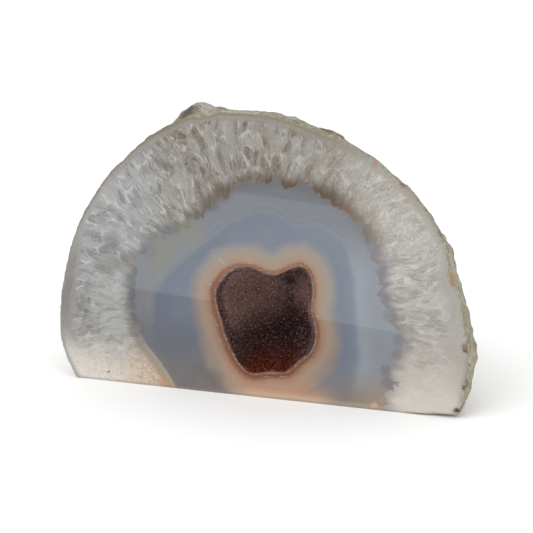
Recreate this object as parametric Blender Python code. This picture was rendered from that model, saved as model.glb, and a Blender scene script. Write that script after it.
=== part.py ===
"""Half agate nodule, sawn flat in front and below, with a crystal-lined hollow in the polished front.

Metres, +Z up, the polished face looks along -Y, the base rests on z = 0.
"""
import math

import bmesh
import bpy
import numpy as np
from mathutils import Matrix, Vector, noise

MM = 0.001

# The nodule: polished face, depth behind it, and the point that its outline is measured round (mm).
FACE_Y = -25.6
DEPTH = 51.0
FRONT_EXTRA = 34.0
CENTRE = (0.0, 17.0)
NODULE_SPOKES = 120
NODULE_RINGS = 33

# Edge of the polished face, as (x, z) in mm. The points below z = 0 lie in the part that is sawn off.
RIM = [
    (-52.3, -6.2), (-55.2, -0.1), (-57.3, 3.4), (-59.2, 7.5), (-60.4, 12.0), (-60.2, 17.1), (-59.9, 23.9),
    (-58.5, 30.0), (-56.1, 40.4), (-52.3, 48.4), (-47.5, 56.9), (-40.8, 64.9), (-32.3, 72.1), (-26.7, 75.3),
    (-21.2, 78.1), (-16.2, 78.6), (-10.7, 80.4), (-5.0, 80.6), (3.2, 80.3), (10.4, 78.8), (16.8, 76.6),
    (23.2, 74.4), (31.8, 70.9), (37.7, 66.8), (43.0, 62.3), (47.9, 57.3), (50.7, 52.1), (53.9, 45.2),
    (53.9, 38.9), (57.1, 36.3), (57.6, 30.3), (59.1, 24.1), (58.9, 19.6), (60.0, 15.0), (58.5, 9.6),
    (58.2, 4.0), (56.9, 0.5), (53.3, -6.2), (30.2, -24.4), (0.0, -30.5), (-30.2, -24.4),
]

# The rind falls away faster behind the upper right edge: middle and half width in degrees, slope, reach.
TAPER = (50.0, 30.0, 0.31, 14.0)

# Knobs on the rind: x, mm behind the face, z, radius and height.
KNOBS = [
    (-19.0, 7.0, 79.0, 6.0, 4.9),
    (20.0, 6.5, 76.0, 4.5, 1.9),
    (55.5, 10.0, 43.0, 6.0, 0.8),
    (57.5, 12.0, 31.0, 7.0, -1.6),
    (60.0, 12.0, 17.0, 7.0, 1.3),
    (58.5, 9.0, 6.0, 6.0, 0.8),
    (-44.0, 22.0, 55.0, 10.0, 1.5),
    (4.0, 30.0, 72.0, 11.0, 1.6),
    (30.0, 40.0, 44.0, 12.0, 1.4),
    (-28.0, 46.0, 34.0, 13.0, 1.5),
]
LUMPS = [(2.4, 21.0), (1.1, 9.0)]
ROUNDING_REACH = 26.0

# The base is worn up a little towards its right end: where the wear starts, and its angle in degrees.
WORN_FROM = 42.0
WORN_ANGLE = 4.5

# Small dents in the rind: centre (x, mm behind the face, z), half sizes, turn about Y in degrees.
DENTS = [
    ((20.6, 2.6, 75.9), (3.6, 0.9, 1.0), 22.0),
    ((58.9, 2.4, 20.4), (1.0, 1.1, 1.9), 0.0),
    ((58.9, 2.0, 9.4), (0.9, 0.9, 1.1), 0.0),
    ((58.0, -0.2, 1.9), (1.5, 1.2, 0.9), 0.0),
]

# The hollow: its edge in the polished face, as (x, z) in mm, and the point that it is measured round.
# Its wall has five low folds, and its upper right lobe is shallower: middle and width in degrees, rise in mm.
HOLLOW_CENTRE = (1.5, 22.0)
HOLLOW_DEPTH = 19.0
HOLLOW_SPOKES = 60
HOLLOW_RINGS = 23
FOLD_HEIGHT = 0.9
SHALLOW_LOBE = (62.0, 26.0, 5.5)
HOLLOW = [
    (-10.3, 35.5), (-8.1, 37.2), (-4.9, 38.1), (-1.8, 38.1), (0.8, 37.0), (4.0, 36.3), (6.9, 37.1),
    (9.1, 38.7), (11.2, 40.1), (13.8, 39.3), (15.4, 36.2), (15.8, 33.1), (15.4, 29.4), (15.3, 26.7),
    (16.1, 23.9), (16.7, 20.5), (16.4, 17.4), (15.0, 14.5), (12.8, 12.3), (10.5, 9.8), (8.5, 7.7),
    (5.6, 7.4), (2.3, 7.2), (0.0, 6.4), (-2.4, 6.0), (-5.5, 7.8), (-7.9, 11.4), (-9.6, 15.0),
    (-10.9, 17.7), (-11.7, 21.1), (-12.8, 24.7), (-13.4, 27.5), (-13.5, 30.3), (-12.2, 32.9),
]

# The crust: gap to the stone, wall, and height of the crystals that stand on its inner side (mm).
GAP = 0.3
WALL = 0.9
CRYSTAL_HEIGHT = 1.1
CRYSTAL_STEPS = 4
CRYSTAL_SCATTER = 0.03


def outline_radius(points, centre, soften):
    """Return the radius of an outline round its centre as a function of the angle, softly rounded."""
    polar = sorted((math.atan2(z - centre[1], x - centre[0]), math.hypot(x - centre[0], z - centre[1]))
                   for x, z in points)
    angles = np.array([angle for angle, _ in polar])
    radii = np.array([reach for _, reach in polar])

    def radius(theta):
        around = theta + math.radians(soften) * np.array([-1.0, -0.5, 0.0, 0.5, 1.0])
        return float(np.interp(around, angles, radii, period=2.0 * math.pi).mean())

    return radius


def smooth(value):
    """Ease from 0 to 1 as the value goes from 0 to 1."""
    value = min(max(value, 0.0), 1.0)
    return value * value * (3.0 - 2.0 * value)


def new_object(name, bm, collection):
    """Turn a bmesh into an object in the collection."""
    bmesh.ops.recalc_face_normals(bm, faces=bm.faces[:])
    mesh = bpy.data.meshes.new(name)
    bm.to_mesh(mesh)
    bm.free()
    made = bpy.data.objects.new(name, mesh)
    collection.objects.link(made)
    return made


def ball(spokes, rings, shape):
    """Return a sphere with its poles on the Y axis, each point placed by shape(theta, phi) in mm."""
    bm = bmesh.new()
    upright = Matrix.Rotation(-math.pi / 2.0, 4, 'X')
    bmesh.ops.create_uvsphere(bm, u_segments=spokes, v_segments=rings, radius=1.0, matrix=upright)
    return shaped(bm, shape)


def shaped(bm, shape):
    """Place each point of a unit sphere by shape(theta, phi) in mm."""
    for vert in bm.verts:
        theta = math.atan2(vert.co.z, vert.co.x)
        phi = math.asin(min(max(vert.co.y, -1.0), 1.0))
        vert.co = Vector(shape(theta, phi)) * MM
    return bm


rim_radius = outline_radius(RIM, CENTRE, 1.2)
round_radius = outline_radius(RIM, CENTRE, 34.0)
hollow_radius = outline_radius(HOLLOW, HOLLOW_CENTRE, 2.5)


def nodule_point(theta, phi):
    """Place a point of the nodule's natural surface."""
    behind = max(DEPTH * math.sin(phi), 0.0)
    blend = smooth(behind / ROUNDING_REACH)
    reach = ((1.0 - blend) * rim_radius(theta) + blend * round_radius(theta)) * math.cos(phi)
    middle, half, slope, length = TAPER
    turn = math.degrees(theta) - middle
    fall = slope * length * (1.0 - math.exp(-behind / length))
    reach -= fall * smooth(1.3 - abs(turn) / half) * math.cos(phi)
    depth = DEPTH if phi > 0.0 else FRONT_EXTRA
    point = Vector((CENTRE[0] + reach * math.cos(theta), FACE_Y + depth * math.sin(phi),
                    CENTRE[1] + reach * math.sin(theta)))
    outward = (point - Vector((CENTRE[0], FACE_Y - 8.0, CENTRE[1]))).normalized()
    rise = sum(height * noise.noise(point / length) for height, length in LUMPS)
    rise *= smooth((behind - 7.0) / 13.0)
    for x, back, z, size, height in KNOBS:
        away = (point - Vector((x, FACE_Y + back, z))).length / size
        rise += height * math.exp(-away * away)
    if behind < 1.0:
        rise = 0.0
    return point + outward * rise


def hollow_point(inset):
    """Return a shape for the hollow, or for a surface that lies inset mm inside it."""
    def place(theta, phi):
        middle, width, rise = SHALLOW_LOBE
        lobe = (math.degrees(theta) - middle) / width
        depth = HOLLOW_DEPTH - rise * math.exp(-lobe * lobe) * math.cos(phi)
        across = math.cos(phi) ** 0.72
        reach = (hollow_radius(theta) - inset) * across
        along = (depth - inset) * math.sin(phi)
        reach += FOLD_HEIGHT * math.sin(5.0 * theta + 1.0) * max(math.sin(phi), 0.0) * across
        return (HOLLOW_CENTRE[0] + reach * math.cos(theta), FACE_Y + along,
                HOLLOW_CENTRE[1] + reach * math.sin(theta))
    return place


def box(name, low, high, collection):
    """Return a box between two corners in mm."""
    bm = bmesh.new()
    bmesh.ops.create_cube(bm, size=1.0)
    low, high = Vector(low), Vector(high)
    for vert in bm.verts:
        vert.co = ((low + high) / 2.0 + Matrix.Diagonal(high - low) @ vert.co) * MM
    return new_object(name, bm, collection)


def cut(target, cutter):
    """Take the cutter away from the target with an exact Boolean."""
    step = target.modifiers.new(cutter.name, 'BOOLEAN')
    step.operation = 'DIFFERENCE'
    step.solver = 'EXACT'
    step.object = cutter


def stone_material(name, colour, roughness):
    """Return a plain stone material."""
    made = bpy.data.materials.new(name)
    made.use_nodes = True
    shader = made.node_tree.nodes['Principled BSDF']
    shader.inputs['Base Color'].default_value = (*colour, 1.0)
    shader.inputs['Roughness'].default_value = roughness
    made.diffuse_color = (*colour, 1.0)
    return made


def make_collection(name):
    """Return a new collection in the scene."""
    made = bpy.data.collections.new(name)
    bpy.context.scene.collection.children.link(made)
    return made


for old in list(bpy.data.objects):
    bpy.data.objects.remove(old)

parts = make_collection('Agate half nodule')
cutters = make_collection('Cutters')

front_saw = box('front_saw', (-90.0, FACE_Y - 60.0, -60.0), (90.0, FACE_Y, 120.0), cutters)
base_saw = box('base_saw', (-90.0, -90.0, -60.0), (90.0, 60.0, 0.0), cutters)
wear = box('wear', (-3.0, -90.0, -40.0), (60.0, 60.0, 0.0), cutters)
wear.location.x = WORN_FROM * MM
wear.rotation_euler.y = math.radians(-WORN_ANGLE)
vug = new_object('vug', ball(HOLLOW_SPOKES, HOLLOW_RINGS, hollow_point(0.0)), cutters)

agate = new_object('agate', ball(NODULE_SPOKES, NODULE_RINGS, nodule_point), parts)
cut(agate, front_saw)
cut(agate, base_saw)
cut(agate, wear)
for number, (middle, halves, turn) in enumerate(DENTS):
    bm = bmesh.new()
    bmesh.ops.create_icosphere(bm, subdivisions=2, radius=1.0)
    for vert in bm.verts:
        spread = Vector((vert.co.x * halves[0], vert.co.y * halves[1], vert.co.z * halves[2]))
        spread.rotate(Matrix.Rotation(math.radians(turn), 3, 'Y'))
        vert.co = (Vector((middle[0], FACE_Y + middle[1], middle[2])) + spread) * MM
    cut(agate, new_object(f'dent_{number}', bm, cutters))
cut(agate, vug)
agate.data.materials.append(stone_material('agate', (0.42, 0.44, 0.46), 0.35))

# The crust: an outer skin close to the stone, hollowed by a skin whose faces rise into crystals.
druse = new_object('druse', ball(HOLLOW_SPOKES, HOLLOW_RINGS, hollow_point(GAP)), parts)
bm = bmesh.new()
bmesh.ops.create_icosphere(bm, subdivisions=CRYSTAL_STEPS, radius=1.0, matrix=Matrix.Rotation(0.4, 4, 'X'))
chance = np.random.default_rng(7)
for vert in bm.verts:
    vert.co = (vert.co + Vector(chance.uniform(-CRYSTAL_SCATTER, CRYSTAL_SCATTER, 3))).normalized()
bm = shaped(bm, hollow_point(GAP + WALL))
bmesh.ops.recalc_face_normals(bm, faces=bm.faces[:])
inner = [face for face in bm.faces if face.calc_center_median().y > FACE_Y * MM]
poked = bmesh.ops.poke(bm, faces=inner)
for vert in poked['verts']:
    height = CRYSTAL_HEIGHT * chance.uniform(0.55, 1.0)
    towards = Vector((HOLLOW_CENTRE[0], FACE_Y + 2.0, HOLLOW_CENTRE[1])) * MM - vert.co
    vert.co += towards.normalized() * height * MM
crust_room = new_object('crust_room', bm, cutters)
cut(druse, front_saw)
cut(druse, crust_room)
druse.data.materials.append(stone_material('druse', (0.16, 0.09, 0.07), 0.25))

for cutter in cutters.objects:
    cutter.hide_render = True
    cutter.display_type = 'WIRE'
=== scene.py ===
"""Looks of the half agate nodule: polished banded front, sawn base, natural rind and crystal-lined hollow.

Lengths are in millimetres in this file and become metres where a mesh, light or camera is made.
"""
import math

import bmesh
import bpy
import numpy as np
from mathutils import Matrix, Vector, noise
from mathutils.bvhtree import BVHTree


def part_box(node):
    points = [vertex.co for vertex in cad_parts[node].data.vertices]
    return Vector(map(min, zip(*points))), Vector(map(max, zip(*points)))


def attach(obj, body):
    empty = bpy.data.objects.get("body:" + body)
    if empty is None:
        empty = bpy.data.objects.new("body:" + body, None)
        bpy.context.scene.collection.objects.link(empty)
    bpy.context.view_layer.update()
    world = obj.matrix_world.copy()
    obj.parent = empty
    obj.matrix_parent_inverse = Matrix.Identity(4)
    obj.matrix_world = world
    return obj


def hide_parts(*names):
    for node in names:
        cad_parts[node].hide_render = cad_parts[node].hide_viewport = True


MM = 0.001

# Camera at the photograph's place: degrees round the stone and above it, then distance, target and lens.
CAMERA_AZIMUTH = 18.0
CAMERA_ELEVATION = 16.146
CAMERA_DISTANCE = 600.0
CAMERA_TARGET = (2.16, -25.6, 38.53)
CAMERA_LENS = 147.07

# Stone mesh: spacing of its points, how close to a sawn plane a point counts as lying on it, how far
# down a face of the base looks, and how far the rind is smoothed and lifted.
STONE_GRID = 0.6
ON_PLANE = 0.14
BASE_SLOPE = -0.985
RIND_SMOOTHING = 12
RIND_LIFT = 0.25

# Texture layout: the two axes seen, scale, and the place in the square, for the polished face,
# for the rind that faces +x, -x, +y, +z and -z, and for the hollow's faces the same way and -y.
LAYOUT = [
    (0, 2, 0.0080, 0.010, 0.330),
    (1, 2, 0.0027, 0.350, 0.095), (1, 2, 0.0027, 0.500, 0.095), (0, 2, 0.0027, 0.005, 0.095),
    (0, 1, 0.0027, 0.655, 0.175), (0, 1, 0.0027, 0.655, 0.020),
    (1, 2, 0.0015, 0.005, 0.0), (1, 2, 0.0015, 0.050, 0.0), (0, 2, 0.0015, 0.030, 0.0),
    (0, 1, 0.0015, 0.085, 0.01), (0, 1, 0.0015, 0.140, 0.01), (0, 2, 0.0015, 0.195, 0.0),
]

# Edge of the blue chalcedony, as (x, z) on the polished face; outside it stand the quartz crystals.
CORE = [
    (-23.0, -3.0), (-26.4, 3.2), (-30.2, 8.6), (-34.3, 13.0), (-37.2, 20.0), (-37.8, 30.0), (-35.5, 38.0),
    (-29.5, 43.8), (-22.0, 48.6), (-15.0, 54.0), (-8.0, 59.8), (-1.0, 62.6), (7.0, 62.7), (15.0, 61.5),
    (22.0, 58.0), (28.3, 53.2), (33.0, 45.5), (35.5, 38.0), (36.5, 30.0), (39.3, 24.0), (39.8, 18.0),
    (38.2, 10.0), (36.5, 1.0), (35.0, -4.0),
]

# Wavy line inside which the chalcedony is a deeper blue.
CONTOUR = [
    (-21.0, -3.0), (-26.5, 5.0), (-30.5, 12.0), (-32.0, 20.0), (-30.2, 30.0), (-25.0, 36.0), (-18.7, 41.5),
    (-12.0, 47.2), (-7.0, 51.2), (-2.5, 53.2), (2.0, 54.6), (5.5, 53.5), (8.5, 51.2), (11.5, 50.6),
    (14.5, 51.2), (17.3, 52.4), (20.0, 50.0), (23.3, 48.2), (25.5, 45.0), (27.3, 40.0), (27.9, 33.0),
    (27.8, 28.0), (29.0, 21.0), (29.4, 14.0), (27.5, 5.0), (25.0, -3.0),
]

# Inside the stone: how far that line lies within the chalcedony, and how thick the quartz is.
CONTOUR_INSET = 9.0
QUARTZ_THICKNESS = 18.0

# Crystals grow towards this (x, z) place; their width is measured along a circle of this radius.
MIDDLE = (0.5, 24.0)
GROWTH_RADIUS = 45.0
QUARTZ_IOR = 1.54

# Pale cut rim between the dark crystals and the stone.
PALE_RIM = 0.8

# Light on the polished face: how much the floor's reflection adds, how bright a white surface is, and
# how much paler the face is coloured at its foot, where less light falls.
FLOOR_SHINE = 0.05
LIGHT_GAIN = 1.4
BASE_LIFT = 1.3

# Stains and specks on the polished face: (x, z, radius, colour, strength).
SPOTS = [
    (-20.5, 46.5, 4.0, (138, 135, 117), 0.55), (-27.6, 41.5, 3.4, (138, 134, 116), 0.5),
    (-30.1, 37.8, 3.0, (138, 134, 120), 0.45), (-18.9, 30.1, 0.5, (172, 104, 72), 0.8),
    (-44.6, 35.0, 3.4, (112, 108, 104), 0.45), (-40.4, 36.0, 2.6, (112, 108, 104), 0.4),
    (-43.6, 42.1, 2.4, (118, 115, 112), 0.4), (-10.7, 58.7, 2.6, (98, 86, 74), 0.65),
    (-14.2, 55.3, 2.3, (98, 86, 76), 0.6), (0.9, 62.6, 0.6, (132, 82, 56), 0.6),
    (25.6, 56.0, 0.6, (150, 76, 56), 0.85), (8.4, 63.0, 0.4, (146, 86, 62), 0.8),
    (40.5, 64.9, 0.8, (112, 90, 72), 0.8), (32.8, 70.0, 1.0, (176, 148, 128), 0.7),
    (-37.2, 37.1, 0.6, (160, 118, 92), 0.7), (-45.3, 2.9, 0.45, (134, 112, 88), 0.8),
    (-35.6, 2.4, 0.4, (150, 112, 84), 0.8), (-28.5, 1.4, 1.6, (188, 140, 104), 0.6),
    (22.3, 18.7, 1.8, (152, 144, 122), 0.4), (-13.1, 4.4, 2.6, (112, 103, 90), 0.35),
    (-18.0, 5.7, 2.0, (110, 102, 92), 0.3), (33.1, 45.9, 1.7, (130, 126, 134), 0.55),
    (34.9, 39.8, 1.8, (124, 120, 130), 0.55), (36.2, 32.6, 1.8, (124, 120, 130), 0.55),
    (37.5, 27.8, 1.9, (124, 120, 126), 0.55), (40.0, 21.1, 1.7, (130, 126, 132), 0.5),
    (39.6, 16.7, 1.4, (124, 120, 128), 0.5), (36.5, 11.9, 1.6, (118, 112, 116), 0.55),
    (37.3, 8.4, 1.8, (120, 114, 116), 0.55), (-25.4, 47.3, 2.2, (112, 112, 116), 0.5),
    (-32.2, 40.2, 2.2, (116, 117, 121), 0.45), (-35.3, 54.2, 1.8, (128, 128, 128), 0.4),
    (-38.7, 30.6, 1.9, (124, 123, 124), 0.45), (-37.5, 26.6, 1.4, (116, 118, 122), 0.5),
    (-38.4, 23.2, 1.5, (122, 122, 124), 0.45), (-36.8, 16.6, 2.4, (112, 112, 112), 0.45),
    (35.9, 3.3, 1.0, (176, 148, 118), 0.5), (33.5, 1.4, 0.9, (206, 176, 148), 0.6),
    (56.7, 2.4, 0.8, (88, 70, 58), 1.0), (58.5, 21.0, 0.9, (146, 116, 100), 0.85),
    (58.6, 19.8, 0.7, (122, 92, 78), 0.9), (58.5, 9.3, 0.7, (126, 92, 76), 0.9),
    (54.3, 41.0, 1.0, (188, 156, 130), 0.85), (55.0, 38.8, 1.3, (174, 140, 114), 0.85),
]

# Thin veins on the polished face: (start, end, width, colour, strength).
VEINS = [
    ((-13.6, 40.4), (-11.5, 39.4), 0.28, (172, 168, 162), 0.8),
    ((-11.5, 39.4), (-9.9, 38.2), 0.28, (186, 182, 176), 0.8),
    ((-4.5, 41.0), (-2.6, 39.1), 0.3, (196, 152, 118), 0.8),
    ((-2.6, 39.1), (-1.7, 38.3), 0.34, (206, 160, 124), 0.9),
    ((-1.7, 38.3), (0.7, 37.2), 0.3, (202, 158, 124), 0.8),
    ((-2.9, 40.4), (-1.7, 38.3), 0.24, (190, 140, 108), 0.7),
    ((-16.2, 33.6), (-15.3, 32.4), 0.24, (178, 166, 152), 0.7),
    ((-15.3, 32.4), (-14.0, 31.8), 0.24, (184, 172, 158), 0.7),
    ((15.2, 26.8), (16.9, 25.4), 0.26, (196, 178, 160), 0.7),
    ((-12.8, 21.1), (-11.6, 19.8), 0.24, (190, 160, 140), 0.7),
    ((-48.5, 57.6), (-42.0, 56.1), 0.5, (186, 172, 158), 0.6),
    ((-31.0, 17.0), (-27.2, 18.6), 0.24, (142, 144, 150), 0.6),
    ((-23.1, 23.2), (-24.3, 21.8), 0.24, (146, 148, 154), 0.6),
    ((-24.6, 31.0), (-24.4, 29.9), 0.24, (150, 152, 158), 0.6),
]

# Marks on the rind: (place, radius, colour, strength). The second, pale grey on top of the knob, is a painted
# highlight.
RIND_MARKS_AND_HIGHLIGHT = [
    ((-20.9, -22.6, 78.6), 3.2, (104, 93, 86), 1.0), ((-15.8, -20.2, 81.0), 2.2, (176, 174, 167), 0.8),
    ((-12.4, -21.0, 80.8), 1.8, (142, 136, 116), 0.8), ((-22.8, -22.8, 78.6), 1.0, (168, 124, 92), 0.8),
    ((-11.4, -21.6, 80.5), 1.0, (118, 62, 46), 0.9), ((-1.2, -24.4, 80.7), 1.4, (214, 211, 205), 0.9),
    ((0.3, -24.4, 80.4), 0.9, (166, 124, 80), 0.9),
    ((18.6, -23.0, 76.6), 2.6, (118, 104, 80), 0.8), ((22.4, -23.4, 75.2), 1.8, (110, 96, 74), 0.85),
    ((55.4, -24.0, 39.5), 2.4, (182, 146, 116), 0.85), ((58.8, -23.0, 21.0), 1.2, (128, 98, 82), 0.9),
    ((58.9, -23.5, 9.6), 1.1, (120, 84, 66), 0.95), ((57.6, -25.0, 2.4), 1.0, (84, 66, 54), 1.0),
]

# Raised flake on the rind at the upper right.
FLAKE_PLACE = np.array((19.8, -21.5, 77.3))
FLAKE_WAY = np.array((0.895, 0.0, -0.446))
FLAKE_HALF = 3.8
FLAKE_RISE = 0.8

# Seed of the rind's crater pattern.
CRATER_SEED = 4

# Shoulders of the knob at the top: (place, radius, rise).
SHOULDERS = [((-25.0, -19.5, 77.5), 4.5, 1.0), ((-13.0, -19.5, 80.5), 4.0, 0.6)]

# Upper edge of the polished face: how far it is drawn out to the right of the knob.
EDGE_REACH = 1.3

# Hollow's crust: spacing of its crystals, their height, and how much the crust is smoothed.
DRUSE_GRID = 0.48
DRUSE_TIP = 0.36
DRUSE_SMOOTHING = 14

# Crust's outer skin: it lies this far from the hollow's wall, up to this far, and sinks this far into it.
SKIN_START = 0.3
SKIN_DEPTH = 0.9
DRUSE_OVERLAP = 0.8

# Crust's cut edge: how far it stands before the polished face, and how much paler it is painted, a painted
# reflection standing in for the floor's shine that its low specular level leaves out.
DRUSE_PROUD = 0.02
CRUST_PAINTED_SHINE = 0.02

# Crust's texture layout: place in the square and scale, for the side seen and for its outer skin.
HOLLOW_DEPTH = 19.0
SEEN_LAYOUT = (0.34, 0.019)
SKIN_LAYOUT = (0.83, 0.0085)

# Lights: (place, target, size, power), the strip's turn in degrees, and the background's strength.
KEY_LIGHT = ((-500.0, -900.0, 1100.0), (0.0, 0.0, 40.0), (900.0, 900.0), 7.0)
FILL_LIGHT = ((900.0, -700.0, 700.0), (0.0, 0.0, 40.0), (800.0, 800.0), 2.0)
STRIP_LIGHT = ((-42.0, -170.0, 1.0), (-42.0, -170.0, 100.0), (700.0, 126.0), 0.28)
STRIP_TURN = 11.7
BACKGROUND = 1.1


def srgb(red, green, blue):
    """Return a linear colour for a colour given as it looks on screen, 0 to 255."""
    shares = [channel / 255.0 for channel in (red, green, blue)]
    linear = [share / 12.92 if share <= 0.04 else ((share + 0.055) / 1.055) ** 2.4 for share in shares]
    return (*linear, 1.0)


def seen(red, green, blue):
    """Return the base colour that looks like this on the polished face in the studio's light."""
    linear = [max(channel - FLOOR_SHINE, 0.004) / LIGHT_GAIN for channel in srgb(red, green, blue)[:3]]
    return (*linear, 1.0)


# Mesh helpers

def points_of(mesh):
    """Return a mesh's points in mm."""
    flat = np.empty(len(mesh.vertices) * 3)
    mesh.vertices.foreach_get("co", flat)
    return flat.reshape(-1, 3) / MM


def set_points(mesh, points):
    """Write points in mm to a mesh."""
    mesh.vertices.foreach_set("co", (points * MM).astype(np.float32).ravel())
    mesh.update()


def normals_of(mesh):
    """Return the normals of a mesh's points."""
    flat = np.empty(len(mesh.vertices) * 3, np.float32)
    mesh.vertex_normals.foreach_get("vector", flat)
    return flat.reshape(-1, 3).astype(float)


def edges_of(mesh):
    """Return a mesh's edges as pairs of point numbers."""
    flat = np.empty(len(mesh.edges) * 2, np.int64)
    mesh.edges.foreach_get("vertices", flat)
    return flat.reshape(-1, 2)


def ease(value, low, high):
    """Go smoothly from 0 at low to 1 at high."""
    step = np.clip((value - low) / (high - low), 0.0, 1.0)
    return step * step * (3.0 - 2.0 * step)


def relax(points, edges, weight, rounds):
    """Draw each point towards the mean of its neighbours, as far as its weight allows."""
    degree = np.bincount(edges.ravel(), minlength=len(points))[:, None]
    for _ in range(rounds):
        total = np.zeros_like(points)
        np.add.at(total, edges[:, 0], points[edges[:, 1]])
        np.add.at(total, edges[:, 1], points[edges[:, 0]])
        points = points + (total / degree - points) * weight[:, None]
    return points


def remeshed(name, source, size):
    """Return a new object with the source's shape in an even grid of faces."""
    piece = bpy.data.objects.new(name, source.data.copy())
    bpy.context.scene.collection.objects.link(piece)
    step = piece.modifiers.new("even_grid", 'REMESH')
    step.mode = 'VOXEL'
    step.voxel_size = size * MM
    mesh = bpy.data.meshes.new_from_object(piece.evaluated_get(bpy.context.evaluated_depsgraph_get()))
    piece.modifiers.clear()
    piece.data = mesh
    mesh.name = name
    mesh.materials.clear()
    return piece


def face_sets(cad, hollow_box):
    """Sort a solid's faces into front, base, hollow and rind, and return each set's own search tree."""
    points = points_of(cad.data)
    low, high = hollow_box
    groups = {"front": [], "base": [], "hollow": [], "rind": []}
    for face in cad.data.polygons:
        corners = list(face.vertices)
        middle = points[corners].mean(0)
        if face.normal.y < -0.999 and middle[1] < FRONT + 0.01:
            kind = "front"
        elif face.normal.z < BASE_SLOPE and middle[2] < 1.6:
            kind = "base"
        elif np.all(middle > low - 1.0) and np.all(middle < high + 1.0):
            kind = "hollow"
        else:
            kind = "rind"
        groups[kind].append(corners)
    return {kind: BVHTree.FromPolygons(points.tolist(), faces) for kind, faces in groups.items()}


def distances(tree, points):
    """Return how far each point lies from the faces in a search tree."""
    return np.array([tree.find_nearest(Vector(point))[3] for point in points])


def outline_distance(outline, points):
    """Return each (x, z) point's distance to a closed outline, positive inside it."""
    corners = np.array(outline)
    ends = np.roll(corners, -1, axis=0)
    nearest = np.full(len(points), 1e9)
    inside = np.zeros(len(points), bool)
    for start, end in zip(corners, ends):
        along = end - start
        share = np.clip(((points - start) @ along) / (along @ along), 0.0, 1.0)
        nearest = np.minimum(nearest, np.linalg.norm(points - start - share[:, None] * along, axis=1))
        crosses = (start[1] > points[:, 1]) != (end[1] > points[:, 1])
        safe = np.where(end[1] == start[1], 1.0, end[1] - start[1])
        inside ^= crosses & (points[:, 0] < start[0] + (points[:, 1] - start[1]) / safe * along[0])
    return np.where(inside, nearest, -nearest)


def rounded(outline, rounds=2):
    """Cut the corners of a closed outline."""
    corners = np.array(outline)
    for _ in range(rounds):
        ends = np.roll(corners, -1, axis=0)
        corners = np.stack([corners * 0.75 + ends * 0.25, corners * 0.25 + ends * 0.75], 1).reshape(-1, 2)
    return corners


def give(mesh, name, values):
    """Store a number for each point of a mesh."""
    layer = mesh.attributes.new(name, 'FLOAT', 'POINT')
    layer.data.foreach_set("value", np.asarray(values, np.float32))


# The stone

def rind_relief(point):
    """Height of the natural surface over the solid's, in mm: lumps, grain, open pits and one raised flake."""
    spot = Vector(point)
    lumps = 0.45 * noise.noise(spot / 7.0) + 0.28 * noise.noise(spot / 2.9 + Vector((7.0, 3.0, 1.0)))
    grain = 0.14 * noise.noise(spot / 1.3)
    near = noise.voronoi(spot / 3.4 + Vector((0.0, 5.0, 9.0)))[0][0]
    pit = max(0.0, 0.42 - near) * 1.5 * max(0.0, noise.noise(spot / 9.0) + 0.35)
    behind = float(ease(point[1] - FRONT, 2.0, 12.0))
    warped = spot / 8.0 + 0.35 * noise.noise_vector(spot / 5.0)
    crater = max(0.0, 0.46 - noise.voronoi(warped)[0][0]) * 4.0 * max(0.0, noise.noise(spot / 14.0) + 0.45)
    lumps = lumps * (1.0 + 1.1 * behind) - crater * behind
    across, along = point - FLAKE_PLACE, (point - FLAKE_PLACE) @ FLAKE_WAY
    side = np.linalg.norm(across - along * FLAKE_WAY)
    plate = float(ease(abs(along), FLAKE_HALF + 0.4, FLAKE_HALF - 0.4) * ease(side, 3.2, 2.0))
    shoulders = 0.0
    for place, radius, rise in SHOULDERS:
        shoulders += rise * float(ease(np.linalg.norm(point - place), radius, 0.0))
    return RIND_LIFT + lumps + grain - pit + plate * FLAKE_RISE + shoulders


def lay_out(mesh, front, hollow):
    """Give the stone its texture layout: the polished face fills the upper two thirds of the square."""
    points = points_of(mesh)
    corners = np.empty(len(mesh.loops), np.int64)
    mesh.loops.foreach_get("vertex_index", corners)
    faces = np.repeat(np.arange(len(mesh.polygons)), [len(face.vertices) for face in mesh.polygons])
    ways = np.empty(len(mesh.polygons) * 3, np.float32)
    mesh.polygons.foreach_get("normal", ways)
    ways = ways.reshape(-1, 3)
    planar = np.ones(len(mesh.polygons), bool)
    inside = np.ones(len(mesh.polygons), bool)
    np.logical_and.at(planar, faces, front[corners])
    np.logical_and.at(inside, faces, hollow[corners])
    sides = np.stack([ways[:, 0], -ways[:, 0], ways[:, 1], ways[:, 2], -ways[:, 2], -ways[:, 1]], 1)
    kind = np.where(planar, 0, np.where(inside, 6 + sides.argmax(1), 1 + sides[:, :5].argmax(1)))
    low = points.min(0)
    places = points[corners] - low
    layout = np.zeros((len(corners), 2))
    for number, (first, second, scale, left, bottom) in enumerate(LAYOUT):
        chosen = kind[faces] == number
        layout[chosen] = places[chosen][:, [first, second]] * scale + np.array((left, bottom))
    layer = mesh.uv_layers.new(name="OFBake")
    layer.data.foreach_set("uv", layout.astype(np.float32).ravel())


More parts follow.
